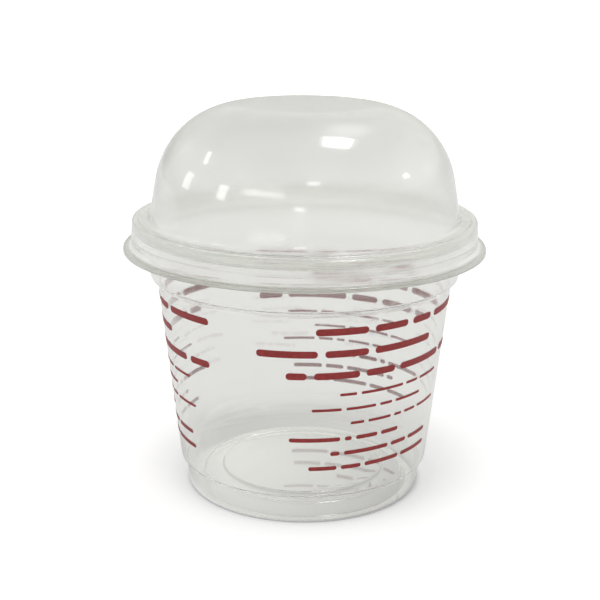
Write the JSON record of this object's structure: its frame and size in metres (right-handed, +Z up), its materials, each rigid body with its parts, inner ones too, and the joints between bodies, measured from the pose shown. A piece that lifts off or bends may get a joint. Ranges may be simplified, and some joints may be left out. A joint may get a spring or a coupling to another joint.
{
  "type": "plastic cup with lid",
  "caption": "Clear tapered dessert cup with a stacking foot and rolled rim, under a flat-topped dome lid with a flanged snap skirt.",
  "frame": {"origin": "centre of the foot ring on the table, under the middle of the cup", "axes": "+Z up along the cup's axis, through the middle of the lid; -Y faces the viewer of the picture"},
  "size_m": [0.1048, 0.1048, 0.113],
  "materials": {
    "cup_sheet": "clear gloss, thermoformed",
    "lid_sheet": "clear gloss, thermoformed",
    "ink": "printed ink film"
  },
  "bodies": {
    "cup_body": {"cup": "cup_sheet", "print": "ink"},
    "lid_body": {"lid": "lid_sheet"}
  },
  "joints": [
    {"name": "lid_lift", "type": "slide", "parent": "cup_body", "child": "lid_body", "axis": [0, 0, 1], "range_m": [0, 0.05]}
  ]
}
